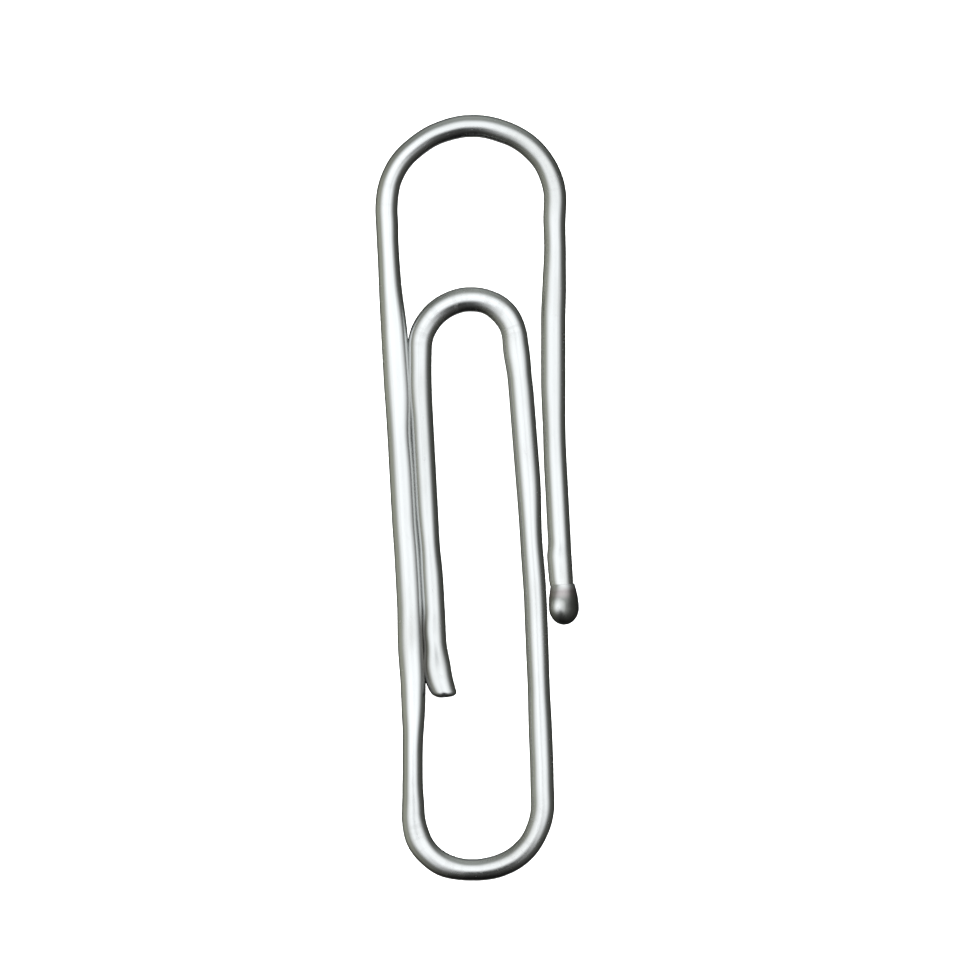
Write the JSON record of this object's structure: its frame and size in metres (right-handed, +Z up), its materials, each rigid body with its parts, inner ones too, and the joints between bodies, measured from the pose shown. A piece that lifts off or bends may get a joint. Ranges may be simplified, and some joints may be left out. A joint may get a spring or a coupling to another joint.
{
  "type": "paper clip",
  "caption": "Wire paper clip of nested loops in one plane, with a bead on its outer end; its bends twist as springs to hold sheets.",
  "frame": {"origin": "middle of the clip's outline, at the level of the bead's underside, which is the lowest point", "axes": "+Y along the clip towards the outer bend, +Z up from the plane it lies on, +X across it towards the bead"},
  "size_m": [0.0088, 0.033, 0.0013],
  "materials": {
    "wire": "drawn steel wire with a bright plated surface",
    "bead": "steel bead, plated, a little duller than the wire"
  },
  "bodies": {
    "long_leg": {"long_leg": "wire"},
    "outer_leg": {"outer_leg": "wire", "end_bead": "bead"},
    "inner_leg": {"inner_leg": "wire"},
    "tongue_leg": {"tongue_leg": "wire"}
  },
  "joints": [
    {"name": "outer_bend_twist", "type": "hinge", "parent": "long_leg", "child": "outer_leg", "pos_m": [-0.00018, 0.01602, 0.00065], "axis": [1, 0, 0], "range_deg": [-5, 5], "stiffness_Nm_per_rad": 0.41},
    {"name": "base_bend_twist", "type": "hinge", "parent": "long_leg", "child": "inner_leg", "pos_m": [-0.00016, -0.01602, 0.00065], "axis": [1, 0, 0], "range_deg": [-8, 8], "stiffness_Nm_per_rad": 0.31},
    {"name": "inner_bend_twist", "type": "hinge", "parent": "inner_leg", "child": "tongue_leg", "pos_m": [-0.00025, 0.00856, 0.00065], "axis": [1, 0, 0], "range_deg": [-4, 4], "stiffness_Nm_per_rad": 0.5}
  ]
}
